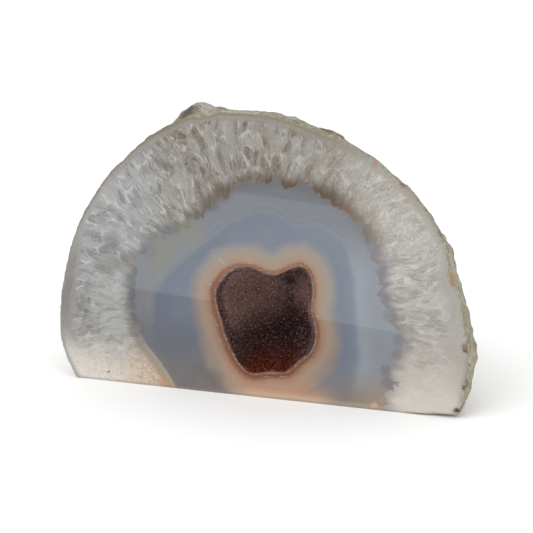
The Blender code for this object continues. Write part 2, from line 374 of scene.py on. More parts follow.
def wear(mesh, points, front, base, away):
    """Raise the rind's relief, keep the sawn planes and the hollow, and return the points and their lift."""
    free = ~front & ~base & (away["rind"] < away["hollow"])
    loose = np.where(free, ease(np.minimum(away["front"], away["base"]), 0.3, 1.6), 0.0)
    points = relax(points, edges_of(mesh), loose * 0.6, RIND_SMOOTHING)
    set_points(mesh, points)
    lift = np.zeros(len(points))
    at_rim = (away["rind"] < 0.9) & (away["hollow"] > 3.0)
    share = np.where(at_rim, 0.45, 0.0) + 0.55 * loose
    for index in np.nonzero(at_rim | free)[0]:
        lift[index] = rind_relief(points[index]) * share[index]
    step = normals_of(mesh) * lift[:, None]
    outward = points - np.array([MIDDLE[0], 0.0, MIDDLE[1]])
    outward[:, 1] = 0.0
    outward /= np.linalg.norm(outward, axis=1)[:, None]
    step[front] = outward[front] * lift[front, None]
    step[base, 2] = 0.0
    points += step

    # The face's upper edge is drawn out, and the rind just behind it goes along.
    upper = ease(points[:, 0], -16.5, -10.5) * ease(points[:, 0], 52.0, 26.0) * ease(points[:, 2], 40.0, 55.0)
    close = np.where(front, np.clip(1.0 - away["rind"] / 2.0, 0.0, 1.0), ease(points[:, 1] - FRONT, 4.5, 0.0))
    close = np.where(front | at_rim | free, close, 0.0)
    points += outward * (EDGE_REACH * upper * close)[:, None]
    points[:, 1] = np.maximum(points[:, 1], FRONT)
    points[:, 2] = np.maximum(points[:, 2], 0.0)
    set_points(mesh, points)
    return points, lift


def crease(mesh, flat):
    """Shade a mesh smooth, with sharp edges where its flat planes end."""
    corners = np.empty(len(mesh.loops), np.int64)
    mesh.loops.foreach_get("vertex_index", corners)
    starts = np.empty(len(mesh.polygons), np.int64)
    mesh.polygons.foreach_get("loop_start", starts)
    planar = np.minimum.reduceat(flat[corners].astype(int), starts) == 1
    bm = bmesh.new()
    bm.from_mesh(mesh)
    bm.faces.ensure_lookup_table()
    for face in bm.faces:
        face.smooth = True
    for edge in bm.edges:
        sides = {bool(planar[face.index]) for face in edge.link_faces}
        edge.smooth = len(sides) == 1
    bm.to_mesh(mesh)
    bm.free()


def make_stone(cad, hollow_box):
    """Return the visible stone: the solid's shape with a worn rind, and numbers for its colours."""
    noise.seed_set(CRATER_SEED)
    piece = remeshed("agate_stone", cad, STONE_GRID)
    mesh = piece.data
    points = points_of(mesh)
    away = {kind: distances(tree, points) for kind, tree in face_sets(cad, hollow_box).items()}
    front = (points[:, 1] < FRONT + ON_PLANE) & (away["front"] < ON_PLANE)
    base = (points[:, 2] < 2.0) & (away["base"] < ON_PLANE)
    points[front, 1] = FRONT
    set_points(mesh, points)
    points, lift = wear(mesh, points, front, base, away)

    deep = away["rind"]
    core = outline_distance(rounded(CORE), points[:, [0, 2]])
    core = np.where(front, core, np.minimum(core, deep - QUARTZ_THICKNESS + 1.0))
    contour = outline_distance(rounded(CONTOUR), points[:, [0, 2]])
    give(mesh, "depth", deep)
    give(mesh, "relief", lift)
    give(mesh, "pocket", away["hollow"])
    give(mesh, "core", core)
    give(mesh, "contour", np.where(front, contour, core - CONTOUR_INSET))
    give(mesh, "polish", front)
    give(mesh, "sawn", front | base | (deep > 0.9))
    lay_out(mesh, front, away["hollow"] < away["rind"])
    crease(mesh, front | base)
    return piece


# The crust of crystals in the hollow

def sink_skin(points, wall, front, wall_tree):
    """Sink the crust's outer skin into the stone, so that no gap shows round the cut edge."""
    for index in np.nonzero(wall < SKIN_DEPTH)[0]:
        foot = np.array(wall_tree.find_nearest(Vector(points[index]))[0])
        way = foot - points[index]
        if front[index]:
            way[1] = 0.0
        share = max(wall[index] - SKIN_START, 0.0) / (SKIN_DEPTH - SKIN_START)
        target = share * (SKIN_DEPTH + DRUSE_OVERLAP) - DRUSE_OVERLAP
        points[index] += way / np.linalg.norm(way) * (wall[index] - target)
        wall[index] = target


def grow_crystals(bm, inner, chance, wall_layer, tip_layer):
    """Raise a small crystal on each inner face, and store the height of each tip."""
    bmesh.ops.triangulate(bm, faces=bm.faces[:], quad_method='ALTERNATE')
    grow = [face for face in bm.faces if sum(bool(inner[vert.index]) for vert in face.verts) >= 2]
    ways = [face.normal.copy() for face in grow]
    heights = chance.uniform(0.3, 1.0, len(grow))
    leans = chance.uniform(-0.14, 0.14, (len(grow), 3))
    poked = bmesh.ops.poke(bm, faces=grow)
    for vert, way, height, lean in zip(poked["verts"], ways, heights, leans):
        vert.co += way * (height * DRUSE_TIP * MM) + Vector(lean) * MM
        vert.co.y = max(vert.co.y, FRONT * MM)
        vert[wall_layer] = 2.0
        vert[tip_layer] = height


def lay_out_druse(bm, wall_layer, middle):
    """Give the crust its texture layout: the side seen and, smaller, its outer skin beside it."""
    layer = bm.loops.layers.uv.new("OFBake")
    for face in bm.faces:
        outer = all(vert[wall_layer] < 0.85 and vert.co.y > (FRONT + 0.3) * MM for vert in face.verts)
        left, scale = SKIN_LAYOUT if outer else SEEN_LAYOUT
        for loop in face.loops:
            place = np.array(loop.vert.co) / MM - middle
            funnel = 1.0 - 0.45 * (place[1] + middle[1] - FRONT) / HOLLOW_DEPTH
            loop[layer].uv = (left + place[0] * funnel * scale, 0.5 + place[2] * funnel * scale)


def make_druse(cad, stone_cad, hollow_box):
    """Return the visible crust: its cut edge lies in the polished face, and fine crystals stand inside."""
    piece = remeshed("druse_crystals", cad, DRUSE_GRID)
    mesh = piece.data
    points = points_of(mesh)
    wall_tree = face_sets(stone_cad, hollow_box)["hollow"]
    wall = distances(wall_tree, points)
    front = points[:, 1] < FRONT + 0.15
    inner = (wall > 0.8) & ~front
    points = relax(points, edges_of(mesh), np.where(inner, 0.5, 0.0), DRUSE_SMOOTHING)
    sink_skin(points, wall, front, wall_tree)
    chance = np.random.default_rng(11)
    shake = chance.uniform(-0.12, 0.12, points.shape)
    shake[~inner] = 0.0
    points = points + shake
    points[front, 1] = FRONT - DRUSE_PROUD
    points[~front, 1] = np.maximum(points[~front, 1], FRONT)
    set_points(mesh, points)

    bm = bmesh.new()
    bm.from_mesh(mesh)
    bm.verts.ensure_lookup_table()
    wall_layer = bm.verts.layers.float.new("wall")
    tip_layer = bm.verts.layers.float.new("tip")
    for vert in bm.verts:
        vert[wall_layer] = wall[vert.index]
    grow_crystals(bm, inner, chance, wall_layer, tip_layer)
    lay_out_druse(bm, wall_layer, (hollow_box[0] + hollow_box[1]) / 2.0)
    for face in bm.faces:
        face.smooth = all(front[vert.index] for vert in face.verts if 0 <= vert.index < len(front))
    bm.to_mesh(mesh)
    bm.free()
    return piece


# Shader helpers

class Graph:
    """Short calls that build a material's nodes; a number, a colour or a socket fits any input."""

    def __init__(self, name):
        self.material = bpy.data.materials.new(name)
        self.material.use_nodes = True
        self.tree = self.material.node_tree
        self.shader = self.tree.nodes["Principled BSDF"]

    def put(self, socket, value):
        """Set an input, or link it."""
        if isinstance(value, bpy.types.NodeSocket):
            self.tree.links.new(value, socket)
        elif value is not None:
            socket.default_value = value

    def node(self, kind, **settings):
        """Add a node with its settings."""
        made = self.tree.nodes.new(kind)
        for key, value in settings.items():
            setattr(made, key, value)
        return made

    def math(self, operation, first, second=None, third=None, clamp=False):
        """Return a sum, product or other function of numbers."""
        made = self.node("ShaderNodeMath", operation=operation, use_clamp=clamp)
        for socket, value in zip(made.inputs, (first, second, third)):
            self.put(socket, value)
        return made.outputs[0]

    def add(self, first, second):
        return self.math('ADD', first, second)

    def sub(self, first, second):
        return self.math('SUBTRACT', first, second)

    def mul(self, first, second):
        return self.math('MULTIPLY', first, second)

    def vector(self, operation, first, second=None, scale=None):
        """Return a function of vectors."""
        made = self.node("ShaderNodeVectorMath", operation=operation)
        self.put(made.inputs[0], first)
        self.put(made.inputs[1], second)
        if scale is not None:
            self.put(made.inputs["Scale"], scale)
        number = operation in ('DISTANCE', 'DOT_PRODUCT')
        return made.outputs["Value"] if number else made.outputs[0]

    def split(self, vector):
        """Return a vector's three parts."""
        made = self.node("ShaderNodeSeparateXYZ")
        self.put(made.inputs[0], vector)
        return made.outputs

    def ease(self, value, low, high, start=0.0, end=1.0):
        """Go smoothly from start to end while the value goes from low to high."""
        made = self.node("ShaderNodeMapRange", interpolation_type='SMOOTHSTEP')
        names = ("Value", "From Min", "From Max", "To Min", "To Max")
        for key, number in zip(names, (value, low, high, start, end)):
            self.put(made.inputs[key], number)
        return made.outputs[0]

    def band(self, value, middle, half):
        """Return 1 where the value is at the middle, falling to 0 at half on either side."""
        return self.ease(self.math('ABSOLUTE', self.sub(value, middle)), 0.0, half, 1.0, 0.0)

    def blend(self, share, first, second):
        """Blend two numbers."""
        made = self.node("ShaderNodeMix", data_type='FLOAT')
        self.put(made.inputs[0], share)
        self.put(made.inputs[2], first)
        self.put(made.inputs[3], second)
        return made.outputs[0]

    def mix(self, share, first, second):
        """Blend two colours."""
        made = self.node("ShaderNodeMix", data_type='RGBA')
        self.put(made.inputs[0], share)
        self.put(made.inputs[6], first)
        self.put(made.inputs[7], second)
        return made.outputs[2]

    def stored(self, name):
        """Read a number stored on the mesh."""
        return self.node("ShaderNodeAttribute", attribute_name=name).outputs["Fac"]

    def noise(self, where, scale, detail=2.0, roughness=0.5):
        """Return soft noise between 0 and 1."""
        made = self.node("ShaderNodeTexNoise")
        names = ("Vector", "Scale", "Detail", "Roughness")
        for key, value in zip(names, (where, scale, detail, roughness)):
            self.put(made.inputs[key], value)
        return made.outputs[0]

    def sway(self, where, scale, detail, reach):
        """Return noise that swings to both sides of 0, with the reach from end to end."""
        return self.mul(self.sub(self.noise(where, scale, detail), 0.5), reach)

    def cells(self, where, scale, feature='F1'):
        """Return a cell pattern's node."""
        made = self.node("ShaderNodeTexVoronoi", feature=feature)
        self.put(made.inputs["Vector"], where)
        self.put(made.inputs["Scale"], scale)
        return made

    def random(self, cells):
        """Return a random number for each cell."""
        made = self.node("ShaderNodeSeparateColor")
        self.put(made.inputs[0], cells.outputs["Color"])
        return made.outputs[0]

    def spot(self, where, x, z, radius, soft=0.5):
        """Return 1 inside a round spot on the polished face."""
        away = self.vector('DISTANCE', where, (x, FRONT, z))
        return self.ease(away, radius * (1.0 - soft), radius * (1.0 + soft), 1.0, 0.0)

    def streak(self, where, start, end, width):
        """Return 1 on a thin line between two (x, z) places on the polished face."""
        ahead = (end[0] - start[0], 0.0, end[1] - start[1])
        squared = ahead[0] ** 2 + ahead[2] ** 2
        offset = self.vector('SUBTRACT', where, (start[0], FRONT, start[1]))
        share = self.math('DIVIDE', self.vector('DOT_PRODUCT', offset, ahead), squared, clamp=True)
        foot = self.vector('SCALE', ahead, scale=share)
        return self.ease(self.vector('DISTANCE', offset, foot), width * 0.3, width, 1.0, 0.0)


class Stone(Graph):
    """The stone's material: numbers stored on its mesh, and the directions in which its crystals grew."""

    def __init__(self):
        super().__init__("agate_stone")
        self.place = self.vector('SCALE', self.node("ShaderNodeTexCoord").outputs["Object"], scale=1.0 / MM)
        self.x, self.y, self.z = self.split(self.place)
        self.depth, self.pocket, self.core = self.stored("depth"), self.stored("pocket"), self.stored("core")
        self.contour, self.polish = self.stored("contour"), self.stored("polish")
        self.sawn = self.stored("sawn")
        self.wide = self.noise(self.place, 0.10, 2.0)
        bend = self.vector('ADD', self.drift(0.10, 6.0), self.drift(0.45, 0.45))
        offset = self.vector('SUBTRACT', self.place, (MIDDLE[0], FRONT, MIDDLE[1]))
        way = self.split(self.vector('NORMALIZE', self.vector('ADD', offset, bend)))
        self.round = self.mul(self.math('ARCTAN2', way[0], way[2]), GROWTH_RADIUS)
        self.over = self.mul(way[1], GROWTH_RADIUS)
        self.inward = self.add(self.depth, self.sway(self.place, 0.3, 2.0, 2.5))

    def drift(self, scale, reach):
        """Return a soft displacement."""
        made = self.node("ShaderNodeTexNoise")
        self.put(made.inputs["Vector"], self.place)
        self.put(made.inputs["Scale"], scale)
        self.put(made.inputs["Detail"], 1.0)
        return self.vector('SCALE', self.vector('SUBTRACT', made.outputs[1], (0.5, 0.5, 0.5)), scale=reach)

    def moved(self, *drifts):
        """Return the place after soft displacements, each given as (scale, reach)."""
        place = self.place
        for scale, reach in drifts:
            place = self.vector('ADD', place, self.drift(scale, reach))
        return place

    def grown(self, width, length, seed=0.0):
        """Return coordinates in which crystals of this width and length are one unit each way."""
        made = self.node("ShaderNodeCombineXYZ")
        self.put(made.inputs[0], self.mul(self.round, 1.0 / width))
        self.put(made.inputs[1], self.add(self.mul(self.over, 1.0 / width), seed))
        self.put(made.inputs[2], self.mul(self.inward, 1.0 / length))
        return made.outputs[0]


def ring_colour(g, place, x, z, out):
    """Colour the pale cut rim and the rings round it, with out in mm from the dark crystals' edge."""
    upper = g.ease(g.add(z, g.mul(x, 0.25)), 25.0, 36.0)
    ragged = g.add(out, g.sway(place, 0.6, 2.0, 0.9))
    ring = g.mix(upper, seen(139, 95, 74), seen(156, 112, 92))
    tan = g.mix(upper, seen(163, 132, 112), seen(166, 138, 117))
    colour = g.mix(g.ease(ragged, 1.2, 2.7), ring, tan)
    colour = g.mix(g.ease(ragged, 2.4, 4.3), colour, g.mix(upper, seen(166, 143, 126), seen(162, 144, 128)))
    colour = g.mix(g.ease(ragged, 4.2, 6.8), colour, g.mix(upper, seen(149, 137, 127), seen(150, 145, 141)))
    pale = g.mix(g.ease(g.noise(place, 1.3, 3.0), 0.40, 0.62), seen(130, 98, 82), seen(150, 134, 123))
    return g.mix(g.ease(ragged, 0.68, 0.22), colour, pale)


def quartz_tints(g, right, top):
    """Return the quartz's usual, dark, milky and white colours, with right and top between 0 and 1."""
    plain = g.mix(top, g.mix(right, seen(154, 154, 152), seen(173, 169, 161)), seen(153, 148, 140))
    dark = g.mix(top, g.mix(right, seen(120, 119, 118), seen(146, 138, 128)), seen(100, 88, 73))
    milk = g.mix(top, g.mix(right, seen(176, 176, 175), seen(194, 190, 184)), seen(172, 169, 164))
    white = g.mix(top, g.mix(right, seen(206, 206, 205), seen(222, 219, 214)), seen(200, 199, 198))
    return plain, dark, milk, white


def growth_line(g, distance, share, strength):
    """Return a line along the cells' edges that is wide and strong where the share is high."""
    width = g.add(g.mul(share, 0.10), 0.002)
    return g.mul(g.ease(distance, width, 0.0), g.mul(share, strength))


def quartz_colour(g, right, top):
    """Return the colours of the quartz crystals."""
    prisms = g.cells(g.grown(2.7, 9.0), 1.0)
    tone = g.random(prisms)
    big = g.cells(g.grown(2.7, 9.0), 1.0, feature='DISTANCE_TO_EDGE').outputs["Distance"]
    needles = g.random(g.cells(g.grown(1.25, 4.4, 3.3), 1.0))
    small = g.cells(g.grown(1.25, 4.4, 3.3), 1.0, feature='DISTANCE_TO_EDGE').outputs["Distance"]
    lens = g.noise(g.grown(1.9, 6.0, 13.1), 1.0)
    veil = g.math('ABSOLUTE', g.sub(g.noise(g.grown(2.2, 8.0, 5.7), 1.0, 1.5), 0.5))
    cloud = g.noise(g.grown(4.0, 11.0, 47.0), 1.0)
    here = g.ease(g.noise(g.grown(2.0, 3.6, 21.4), 1.0), 0.44, 0.66)
    there = g.ease(g.noise(g.grown(1.6, 3.2, 27.8), 1.0), 0.46, 0.66)
    grain = g.noise(g.grown(0.4, 0.9, 31.5), 1.0, 2.0, 0.6)

    colour, dark, milk, white = quartz_tints(g, right, top)
    colour = g.mix(g.mul(g.ease(cloud, 0.52, 0.36), 0.6), colour, milk)
    colour = g.mix(g.mul(g.ease(tone, 0.45, 0.95), 0.55), colour, dark)
    colour = g.mix(g.mul(g.ease(needles, 0.62, 0.80), g.ease(small, 0.01, 0.10, 0.0, 0.75)), colour, dark)
    colour = g.mix(g.mul(g.ease(lens, 0.52, 0.66), 0.7), colour, dark)
    colour = g.mix(g.mul(g.ease(tone, 0.35, 0.05), 0.35), colour, milk)
    colour = g.mix(g.mul(g.ease(needles, 0.25, 0.05), 0.5), colour, milk)
    bright = g.mul(g.ease(g.add(g.x, g.mul(g.sub(g.wide, 0.5), 20.0)), 6.0, 32.0), g.ease(g.z, 38.0, 52.0))
    colour = g.mix(g.mul(bright, 0.5), colour, seen(178, 173, 163))
    colour = g.mix(g.mul(g.ease(g.wide, 0.40, 0.60), g.mul(top, 0.35)), colour, seen(140, 130, 109))
    colour = g.mix(g.mul(g.ease(big, 0.34, 0.0), g.mul(here, 0.45)), colour, milk)
    lines = g.math('MAXIMUM', growth_line(g, big, here, 0.75), growth_line(g, small, there, 0.55))
    lines = g.math('MAXIMUM', lines, g.mul(g.ease(veil, 0.014, 0.0), 0.4))
    webs = g.math('ABSOLUTE', g.sub(g.noise(g.grown(1.2, 2.6, 71.0), 1.0, 2.0, 0.6), 0.5))
    lines = g.math('MAXIMUM', lines, g.mul(g.ease(webs, 0.035, 0.0), g.ease(bright, 0.0, 1.0, 0.2, 0.6)))
    lines = g.mul(lines, g.sub(1.0, g.mul(g.mul(right, g.ease(g.z, 44.0, 32.0)), 0.45)))
    colour = g.mix(lines, colour, white)
    specks = g.cells(g.grown(0.9, 1.6, 61.0), 1.0)
    chip = g.mul(g.ease(specks.outputs["Distance"], 0.26, 0.12), g.ease(g.random(specks), 0.72, 0.80))
    colour = g.mix(g.mul(chip, 0.6), colour, white)
    return g.mix(g.mul(g.ease(grain, 0.38, 0.72), 0.3), colour, milk)


def rim_colour(g, right, top, start):
    """Return the colours of the even band under the rind, which ends where the crystals start."""
    left_side = g.mix(g.ease(g.z, 20.0, 13.0), seen(140, 136, 131), seen(164, 161, 155))
    left_side = g.mix(g.ease(g.z, 34.0, 44.0), left_side, seen(156, 153, 148))
    colour = g.mix(right, left_side, seen(176, 171, 163))
    colour = g.mix(g.mul(g.ease(g.wide, 0.42, 0.60), 0.45), colour, seen(162, 159, 154))
    above = g.mix(g.ease(g.sub(g.depth, start), -0.2, 0.6), seen(147, 140, 124), seen(156, 150, 138))
    above = g.mix(g.ease(g.x, 14.0, 40.0, 0.0, 0.8), above, seen(168, 162, 151))
    colour = g.mix(top, colour, above)
    line = g.mul(g.sub(1.0, g.mul(right, 0.6)), 0.38)
    colour = g.mix(g.mul(g.band(g.depth, g.add(start, 0.1), 0.45), line), colour, seen(180, 178, 172))
    colour = g.mix(g.mul(g.ease(g.noise(g.place, 1.1, 3.0), 0.45, 0.7), 0.3), colour, seen(138, 133, 124))
    crumbs = g.ease(g.noise(g.place, 0.8, 4.0, 0.7), 0.42, 0.58)
    crust = g.mix(crumbs, seen(150, 141, 119), seen(184, 179, 166))
    crust = g.mix(g.mul(g.ease(g.x, -15.0, -24.0), g.ease(g.z, 36.0, 56.0)), crust, seen(136, 129, 114))
    return g.mix(g.ease(g.depth, 0.8, 0.1, 0.0, 0.8), colour, crust)


def chalcedony_colour(g, right):
    """Return the colours of the blue-grey chalcedony between the quartz and the halo."""
    inside = g.add(g.contour, g.sway(g.place, 0.14, 2.0, 2.0))
    high = g.ease(g.z, 40.0, 54.0)
    outer = g.mix(high, g.mix(right, seen(130, 133, 138), seen(145, 150, 158)), seen(122, 126, 134))
    outer = g.mix(g.mul(g.ease(g.core, 3.0, 0.3), high), outer, seen(118, 118, 122))
    inner = g.mix(right, seen(112, 120, 135), seen(122, 130, 144))
    inner = g.mix(g.ease(inside, 1.0, 8.0), inner, seen(118, 125, 139))
    colour = g.mix(g.ease(inside, -1.2, 1.2), outer, inner)
    broken = g.ease(g.noise(g.place, 0.2, 1.0), 0.3, 0.6, 0.3, 1.0)
    line = g.mul(g.ease(g.z, 30.0, 46.0, 0.10, 0.18), broken)
    colour = g.mix(g.mul(g.band(inside, 0.0, 0.55), line), colour, seen(158, 163, 172))
    colour = g.mix(g.mul(g.band(inside, -2.0, 0.8), 0.07), colour, seen(150, 154, 160))
    pale_line = g.mul(g.mul(g.band(inside, -1.0, 4.0), right), g.ease(g.z, 46.0, 38.0, 0.0, 0.35))
    colour = g.mix(pale_line, colour, seen(160, 167, 178))
    rings = g.ease(g.math('SINE', g.mul(inside, 2.6)), 0.0, 1.0)
    colour = g.mix(g.mul(rings, g.mul(g.wide, 0.06)), colour, seen(156, 160, 168))
    dusk = g.mul(g.ease(g.z, 27.0, 12.0), g.ease(g.x, 0.0, -12.0))
    dusk_tint = g.mix(g.ease(g.z, 14.0, 4.0), seen(112, 114, 121), seen(120, 114, 110))
    colour = g.mix(g.mul(dusk, 0.8), colour, dusk_tint)
    brown = g.mul(g.ease(g.z, 14.0, 2.0), g.ease(g.x, 13.0, 22.0))
    brown_tint = g.mix(g.ease(g.x, 24.0, 33.0), seen(128, 121, 115), seen(148, 134, 120))
    colour = g.mix(g.mul(brown, 0.9), colour, brown_tint)
    edge_tan = g.mul(g.ease(g.z, 2.4, 0.6), g.ease(g.x, -22.0, 16.0))
    colour = g.mix(g.mul(edge_tan, 0.6), colour, seen(182, 162, 142))
    haze = g.ease(g.noise(g.place, 0.2, 4.0, 0.6), 0.42, 0.72)
    return g.mix(g.mul(haze, 0.22), colour, seen(138, 132, 124))


def halo_colour(g, blue):
    """Add the tan halo round the hollow and below it, and the rings at its edge."""
    out = g.add(g.pocket, PALE_RIM)
    rings = ring_colour(g, g.place, g.x, g.z, out)
    under = g.mul(g.ease(g.z, 9.0, 1.0), g.mul(g.ease(g.x, -13.0, 0.0), g.ease(g.x, 27.0, 16.0)))
    sandy = g.mix(g.ease(g.z, 3.5, 0.5), seen(182, 141, 116), seen(198, 172, 146))
    rings = g.mix(g.mul(under, g.ease(out, 2.0, 5.0, 0.0, 0.9)), rings, sandy)
    fog = g.add(out, g.sway(g.place, 0.16, 2.0, 2.6))
    fog = g.sub(fog, g.mul(g.ease(g.z, 26.0, 8.0), 1.6))
    return g.mix(g.math('MAXIMUM', g.ease(fog, 8.6, 5.2), g.mul(under, 0.9)), blue, rings)


def face_marks(g):
    """Give the single stains, specks and veins of the polished face, one by one, as (share, colour)."""
    shifted = g.moved((0.9, 1.2), (2.2, 1.1))
    for x, z, radius, tint, strength in SPOTS:
        yield g.mul(g.spot(shifted, x, z, radius), strength), tint
    for start, end, width, tint, strength in VEINS:
        yield g.mul(g.streak(shifted, start, end, width), strength), tint
    # Iron stain in the cream corner, and a thin line of it along the base.
    near = g.streak(g.place, (-35.0, 12.0), (-27.0, 1.0), 6.0)
    blots = g.ease(g.noise(g.place, 0.55, 4.0, 0.7), 0.52, 0.68)
    corner = g.mul(g.ease(g.core, -0.3, -1.5), g.ease(g.z, 14.0, 8.0))
    yield g.mul(g.mul(blots, near), g.mul(corner, 0.75)), (176, 136, 98)
    threads = g.ease(g.math('ABSOLUTE', g.sub(g.noise(g.place, 0.7, 3.0, 0.6), 0.5)), 0.018, 0.0)
    far = g.streak(g.place, (-46.0, 3.5), (-28.0, 4.0), 6.0)
    yield g.mul(g.mul(threads, far), g.mul(corner, 0.55)), (168, 120, 86)


def add_marks(g, colour):
    """Lay the marks of the polished face over its colour."""
    for share, tint in face_marks(g):
        colour = g.mix(share, colour, seen(*tint))
    return colour


def rind_colour(g):
    """Return the colours of the natural rind, with a painted highlight on top of the knob, and its fine
    grain.
    """
    relief = g.stored("relief")
    bent = g.moved((0.5, 4.0), (1.9, 1.2))
    fine = g.noise(g.place, 0.9, 4.0, 0.65)
    greyer = g.ease(g.x, 20.0, 50.0)
    dull = g.mix(greyer, seen(162, 155, 138), seen(170, 163, 137))
    pale = g.mix(greyer, seen(182, 178, 168), seen(190, 184, 163))
    colour = g.mix(g.ease(g.noise(bent, 0.10, 4.0, 0.6), 0.42, 0.58), dull, pale)
    colour = g.mix(g.ease(fine, 0.44, 0.72), colour, seen(138, 128, 104))
    colour = g.mix(g.mul(g.ease(g.noise(bent, 0.14, 3.0), 0.54, 0.68), 0.45), colour, seen(128, 132, 108))
    colour = g.mix(g.mul(g.ease(g.noise(bent, 0.20, 4.0, 0.6), 0.60, 0.70), 0.6), colour, seen(164, 128, 98))
    white = g.ease(g.noise(bent, 0.26, 4.0, 0.65), 0.60, 0.68)
    colour = g.mix(g.mul(white, 0.7), colour, seen(204, 201, 193))
    # Darker in the pits, paler on the highest bumps.
    colour = g.mix(g.mul(g.ease(relief, 0.0, -1.4), 0.65), colour, seen(112, 101, 80))
    colour = g.mix(g.mul(g.ease(relief, 0.5, 1.3), 0.35), colour, seen(196, 192, 178))
    dirt = g.ease(g.noise(g.place, 1.7, 3.0, 0.7), 0.60, 0.70)
    colour = g.mix(g.mul(dirt, 0.6), colour, seen(100, 90, 74))

    # Beside the polished face the rind is speckled, and darker at the upper left.
    close = g.ease(g.y, FRONT + 7.0, FRONT + 3.0)
    shaded = g.mul(g.ease(g.x, -21.0, -27.0), g.ease(g.z, 40.0, 60.0))
    colour = g.mix(g.mul(shaded, g.mul(close, 0.75)), colour, seen(122, 114, 100))
    close = g.mul(close, g.sub(1.0, g.mul(shaded, 0.8)))
    dots = g.noise(bent, 0.75, 4.0, 0.75)
    colour = g.mix(g.mul(g.ease(dots, 0.53, 0.60), g.mul(close, 0.6)), colour, seen(112, 106, 84))
    colour = g.mix(g.mul(g.ease(dots, 0.46, 0.38), g.mul(close, 0.7)), colour, seen(216, 214, 202))
    shifted = g.moved((0.6, 2.5))
    # Marks on the rind, among them a painted highlight on top of the knob.
    for where, radius, tint, strength in RIND_MARKS_AND_HIGHLIGHT:
        away = g.vector('DISTANCE', shifted, where)
        colour = g.mix(g.ease(away, radius * 0.6, radius * 1.3, strength, 0.0), colour, seen(*tint))
    return colour, fine


def quartz_zone(g, right, top, start):
    """Return the colours from the calm rim to the coarser crystals further in."""
    crystals = quartz_colour(g, right, top)
    calm = g.mix(top, g.mix(right, seen(156, 154, 151), seen(176, 171, 163)), seen(148, 144, 137))
    scallop = g.sway(g.place, 0.35, 2.0, 5.0)
    milky = g.ease(g.add(g.vector('DISTANCE', g.place, (-43.6, FRONT, 27.2)), scallop), 7.6, 5.2)
    lower = g.ease(g.add(g.vector('DISTANCE', g.place, (-42.2, FRONT, 19.0)), scallop), 6.4, 4.6)
    milky = g.math('MAXIMUM', milky, lower)
    streaks = g.ease(g.noise(g.grown(1.1, 7.0, 83.0), 1.0, 2.0), 0.35, 0.60)
    calm = g.mix(milky, calm, g.mix(streaks, seen(170, 169, 166), seen(194, 194, 191)))
    reach = g.mul(g.ease(g.x, 30.0, 50.0, 1.8, 3.8), g.ease(g.z, 32.0, 44.0, 1.0, 0.35))
    grown = g.ease(g.sub(g.inward, start), 0.0, reach)
    return g.mix(g.mul(g.add(g.mul(grown, 0.85), 0.12), g.sub(1.0, g.mul(milky, 0.45))), calm, crystals)


def add_tips(g, quartz, right, top, smooth_low):
    """End the crystals in dusky points, brown at the top; return the colour and the distance inside them."""
    column = g.grown(3.9, 60.0, 41.0)
    chance = g.random(g.cells(column, 1.0))
    ridge = g.cells(column, 1.0, feature='DISTANCE_TO_EDGE').outputs["Distance"]
    toothed = g.sub(1.0, g.mul(smooth_low, g.ease(g.x, 0.0, -20.0)))
    slope = g.ease(g.x, 16.0, 30.0, 7.0, 4.6)
    tallest = g.ease(top, 0.0, 1.0, g.ease(g.x, 16.0, 30.0, 1.3, 2.2), 2.2)
    point = g.math('MINIMUM', g.mul(ridge, slope), tallest)
    left = g.mul(g.ease(g.x, -16.0, -28.0), g.ease(g.z, 46.0, 38.0))
    jut = g.sub(g.add(g.mul(g.sub(chance, 0.45), 3.6), point), 1.3)
    jut = g.mul(jut, g.mul(toothed, g.sub(1.0, g.mul(left, 0.45))))
    jut = g.mul(jut, g.ease(top, 0.3, 1.0, 1.0, 0.7))
    edge = g.sub(g.core, g.add(jut, g.sway(g.place, 1.2, 2.0, 0.6)))

    far = g.mul(g.ease(g.x, 12.0, 20.0), g.ease(g.z, 38.0, 44.0, -4.4, -7.0))
    dusky = g.ease(edge, g.math('MINIMUM', far, -4.4), -0.5)
    dusky = g.mul(g.mul(dusky, g.ease(chance, 0.1, 0.7, 0.5, 1.0)), toothed)
    low_tip = g.mix(right, seen(114, 113, 115), seen(134, 128, 129))
    high_tip = g.mix(g.ease(g.x, 18.0, 30.0), seen(104, 90, 77), seen(122, 106, 90))
    quartz = g.mix(dusky, quartz, g.mix(g.ease(g.z, 42.0, 52.0), low_tip, high_tip))
    rusty = g.mul(g.band(edge, -0.3, 0.35), g.ease(g.z, 44.0, 54.0))
    rusty = g.mul(rusty, g.ease(g.noise(g.place, 0.35, 2.0), 0.45, 0.6))
    return g.mix(g.mul(rusty, 0.8), quartz, seen(128, 84, 56)), edge


def add_cream(g, outer, edge, smooth_low):
    """Turn the two lower corners to cream, the left one flecked and edged with a yellowish line."""
    patch = g.sway(g.place, 0.2, 3.0, 12.0)
    flecks = g.noise(g.place, 0.9, 4.0, 0.7)
    left_low = g.mul(g.ease(g.add(g.z, patch), 19.0, 2.0), g.ease(g.x, -20.0, -28.0))
    right_low = g.mul(g.ease(g.add(g.z, patch), 27.0, 4.0), g.ease(g.x, 30.0, 44.0))
    cream = g.mix(g.ease(flecks, 0.42, 0.66), seen(219, 213, 205), seen(207, 198, 187))
    browner = g.mix(g.ease(flecks, 0.40, 0.66), seen(209, 194, 177), seen(188, 168, 144))
    cream = g.mix(g.ease(g.x, -46.0, -34.0), cream, browner)
    outer = g.mix(g.mul(g.mul(left_low, g.ease(g.depth, 0.3, 2.0)), 0.85), outer, cream)
    outer = g.mix(g.mul(g.mul(right_low, g.ease(g.depth, 0.3, 2.0)), 0.72), outer, seen(207, 201, 192))
    near_edge = g.mul(g.band(g.core, -1.7, 2.1), g.mul(smooth_low, g.ease(g.x, -20.0, -26.0)))
    outer = g.mix(g.mul(near_edge, 0.8), outer, seen(148, 138, 126))
    return g.mix(g.mul(g.band(edge, -0.9, 0.4), g.mul(left_low, 0.5)), outer, seen(150, 128, 98))


